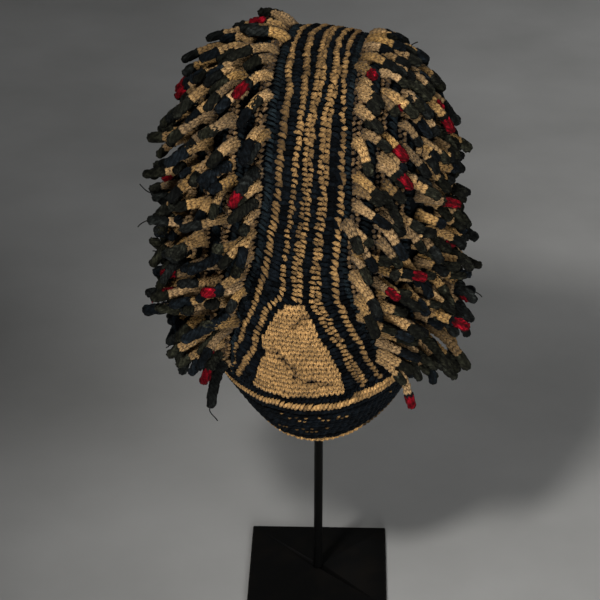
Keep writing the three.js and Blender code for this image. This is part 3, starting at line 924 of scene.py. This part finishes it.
def in_picture(point):
    """Where a point shows in the picture, in pixels, and how far it is from the camera."""
    seen = camera_inverse @ Vector(point)
    scale = picture_lens / -seen.z
    return picture_side / 2 + seen.x * scale, picture_side / 2 - seen.y * scale, -seen.z


bpy.context.view_layer.update()
camera_inverse = camera.matrix_world.inverted()
fingers = []
for side, label in ((-1, "left"), (1, "right")):
    count, _ = side_columns(side)
    for i in range(count):
        share = column_share(side, (i + 0.5) / count)
        for foot in column_feet(side, share, 100 * i + (0 if side > 0 else 1000)):
            line = finger_line(foot, hang[label])
            fingers.append({"side": label, "line": line, "seen": in_picture(line[-1]), **foot})

# Red ends: the places in the picture of the tips that are worked in red. Each is given to the
# nearest fingertip, and at the back one finger in twelve or so has one.
red_places = [
    (162, 84), (164, 98), (241, 95), (157, 186), (225, 199), (372, 72), (397, 102), (445, 108),
    (450, 141), (409, 165), (415, 195), (457, 204), (460, 240), (427, 272), (404, 293), (161, 275),
    (161, 293), (194, 296), (219, 364), (205, 389), (470, 331), (416, 398), (245, 20),
]
depth_cost = 90
back_from = 20 * mm
back_reds = 0.085
for place in red_places:
    best = min(
        (finger for finger in fingers if "red" not in finger),
        key=lambda finger: math.dist(finger["seen"][:2], place) + depth_cost * finger["seen"][2])
    best["red"] = True
middle_depth = in_picture(hat_middle)[2]
for finger in fingers:
    if finger["seen"][2] > middle_depth + back_from and chance.random() < back_reds:
        finger["red"] = True

end_dyes = np.array([
    (0.0088, 0.0100, 0.0092), (0.0150, 0.0152, 0.0096), (0.0052, 0.0074, 0.0094), (0.0112, 0.0116, 0.0084),
])
red_dye = np.array((0.15, 0.0024, 0.007))
finger_shape = {
    "share": [0, 0.10, 0.3, 0.6, 0.8, 1.0],
    "wide": [1.55, 1.34, 1.08, 1.0, 0.96, 0.9],
}


def wide_at(share):
    """A finger's radius before its end is rounded: a wide root and an even shaft."""
    return finger_radius * np.interp(share, finger_shape["share"], finger_shape["wide"])


def finger_frame(line, shares):
    """Places, directions and two cross directions along a finger's line."""
    steps = np.linspace(0, 1, len(line))
    places = np.stack([np.interp(shares, steps, line[:, i]) for i in range(3)], axis=1)
    slope = np.gradient(line, axis=0)
    tangents = unit(np.stack([np.interp(shares, steps, slope[:, i]) for i in range(3)], axis=1))
    first = unit(np.cross(tangents, np.array([0.31, 0.17, 0.94])))
    return places, tangents, first, np.cross(tangents, first)


def around_line(first, second, turn):
    return first * np.cos(turn)[:, None] + second * np.sin(turn)[:, None]


def tube(line, shares, radii, bumps, dye, sides):
    """A closed tube along a finger's line, with staggered bumps like those of close stitches."""
    places, _, first, second = finger_frame(line, shares)
    turn = np.arange(sides) * 2 * math.pi / sides
    loops, twists = [], [0.0]
    for k, radius in enumerate(radii):
        ripple = bumps * (-1) ** (np.arange(sides) + k // 2) * (-1) ** k
        loops.append(places[k] + around_line(first[k], second[k], turn) * (radius + ripple)[:, None])
        twists += list(np.arange(sides) * 0.5 + 0.5 * k)
    points = np.concatenate([places[:1], *loops, places[-1:]])
    last = len(points) - 1
    faces = []
    for i in range(sides):
        j = (i + 1) % sides
        faces += [(0, 1 + j, 1 + i), (last - sides + i, last - sides + j, last)]
        for ring in range(1, last - sides, sides):
            faces += [(ring + i, ring + j, ring + j + sides), (ring + i, ring + j + sides, ring + i + sides)]
    dyes = np.asarray(dye) * chance.lognormal(0, 0.55, (last + 1, 1))
    return points, np.array(faces), dyes, np.array(twists + [0.0])


finger_yarn = yarn_material("tan_finger_yarn", 0.06, 0.15, 0.08, 0.2)
end_yarn = yarn_material("indigo_finger_yarn", 0.01, 0.05, 0.5, 1.0)
parts = {(label, kind): [] for label in ("left", "right") for kind in ("tan", "indigo")}
for finger in fingers:
    line = finger["line"]
    length = np.linalg.norm(np.diff(line, axis=0), axis=1).sum()
    plump = chance.uniform(0.86, 1.12)
    pale = chance.random()
    # Each finger's tan has its own faded tint, and a brightness from 0.42 to 1.2 of the dye that stands for
    # lit and shaded fingers: painted light and shade.
    faded_and_shaded_dye = root_dye * np.array([1, 1 + 0.12 * pale, 0.8 + 0.6 * pale]) * chance.uniform(0.42, 1.2)
    end_from = chance.uniform(*end_starts) if chance.random() < tan_fingers else dark_from
    end_dye = end_dyes[chance.integers(len(end_dyes))] * chance.uniform(0.45, 1.3)
    red_from = max(end_from, 1 - chance.uniform(*red_longs) * mm / length)
    ends = [(end_from, 1, end_dye)]
    if "red" in finger:
        ends = [(red_from, 1, red_dye * chance.uniform(0.7, 1.15))]
        if red_from > end_from:
            ends.append((end_from, red_from, end_dye))
    rows = max(3, round(length * end_from / row_pitch))
    shares = (np.arange(rows) + 0.5) / rows * end_from
    places, tangents, first, second = finger_frame(line, shares)
    number = 2 * chance.integers(4, 6)
    spin = chance.uniform(0, 2 * math.pi)
    for k, share in enumerate(shares):
        radius = wide_at(share) * plump
        turn = (np.arange(number) + chance.uniform(-0.08, 0.08, number)) * 2 * math.pi / number + spin
        radial = around_line(first[k], second[k], turn)
        round_way = np.cross(tangents[k], radial)
        taper = (wide_at(share + taper_step) - wide_at(share - taper_step)) / (2 * taper_step * length)
        sway = np.where(np.arange(number) % 2 == 0, -1, 1)[:, None] * row_sway
        along = unit(tangents[k] + radial * taper + round_way * sway)
        normals = unit(np.cross(along, np.cross(radial, along)))
        spots = (places[k] + radial * (radius - grain_deep + chance.normal(size=(number, 1)) * 0.16 * mm)
                 + tangents[k] * chance.normal(size=(number, 1)) * 0.15 * mm)
        # Painted shade: the tan darkens to half towards the root, where the fingers crowd together.
        parts[finger["side"], "tan"].append(grains(
            spots, along, normals, row_pitch * 1.7, 2 * math.pi * radius / number * 0.95, 2.2 * mm, 0,
            varied(faded_and_shaded_dye * np.interp(share, [0, 0.45], [0.5, 1]), number, 0.12),
            sides=3, bends=(-0.5, 0.5), swell=(1.0, 0.9)))
    # The core inside the stitches is tan at 0.4 of the finger's dye: painted shade where it shows between
    # the stitches.
    inside = np.array([0, 0.4, 0.8, 1]) * end_from
    parts[finger["side"], "tan"].append(tube(
        line, inside, wide_at(inside) * plump - core_deep, 0, faded_and_shaded_dye * 0.4, core_sides))
    round_from = 1 - round_end / length
    for near, far, dye in ends:
        stop = min(far, round_from)
        steps = max(3, round((stop - near) * length / end_ring))
        shares = np.linspace(near - 0.02, stop, steps)
        fullness = np.ones(steps)
        if far == 1:
            shares = np.append(shares, round_from + (1 - round_from) * np.array([0.45, 0.75, 0.92, 0.99]))
            fullness = np.append(fullness, [0.95, 0.8, 0.52, 0.2])
        radii = wide_at(np.minimum(shares, round_from)) * plump * fullness
        parts[finger["side"], "indigo"].append(tube(line, shares, radii, end_bumps, dye, end_sides))

# Loose ends: bits of the fingers' own yarn that have worked out at some of the tips. Each is a
# thin thread in the colour of its tip, which curls a little as it hangs out.
loose_share = 0.06
loose_longs = (4, 9)
loose_radius = 0.38 * mm
loose_curl = 0.7
loose_swing = 0.16
loose_sides = 5
for finger in fingers:
    if chance.random() < loose_share:
        line = finger["line"]
        heading = unit(line[-1] - line[-4])
        long = chance.uniform(*loose_longs) * mm
        t = np.linspace(0, 1, 13)[:, None]
        curl = unit(np.cross(heading, chance.normal(size=3)))
        swing = np.cross(heading, curl)
        thread = (line[-1] - heading * 1.5 * mm + heading * t * long + curl * t ** 2 * long * loose_curl
                  + swing * np.sin(5 * t) * long * loose_swing)
        dye = red_dye if "red" in finger else end_dyes[chance.integers(len(end_dyes))]
        parts[finger["side"], "indigo"].append(tube(
            thread, np.linspace(0, 1, 10), np.full(10, loose_radius), 0, dye, loose_sides))

for (label, kind), pieces in parts.items():
    yarn = finger_yarn if kind == "tan" else end_yarn
    piece = cotton_piece(f"fingers_{label}_{kind}", pieces, yarn)
    if kind == "indigo":
        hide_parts(f"fingers_{label}")
